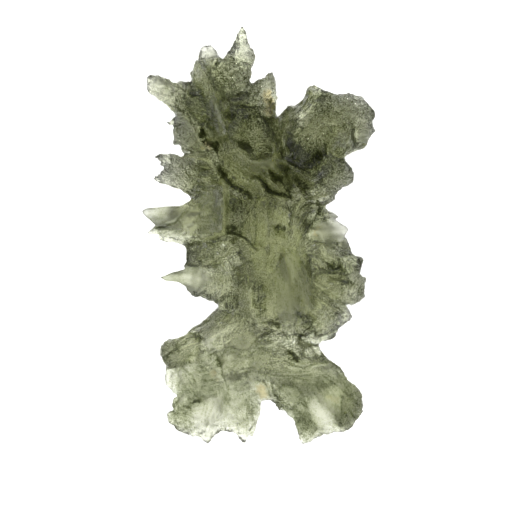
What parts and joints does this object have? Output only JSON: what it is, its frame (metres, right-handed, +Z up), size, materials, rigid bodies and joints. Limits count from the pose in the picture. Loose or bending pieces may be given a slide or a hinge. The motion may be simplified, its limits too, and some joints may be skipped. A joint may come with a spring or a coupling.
{
  "type": "moldavite",
  "caption": "Flat, spiky piece of natural green glass, etched into thin blades, thorns and hollows around a thick middle, lying on its lower blades.",
  "frame": {"origin": "middle of the stone's bounding box, on the surface that it lies on", "axes": "+Y along the stone towards its top spike, +X towards the broad right wing, +Z up, out of the shown face"},
  "size_m": [0.0202, 0.036, 0.0087],
  "materials": {
    "moldavite_glass": "matt, finely etched, see-through at the thin tips"
  },
  "bodies": {
    "root": {"moldavite": "moldavite_glass"}
  },
  "joints": []
}
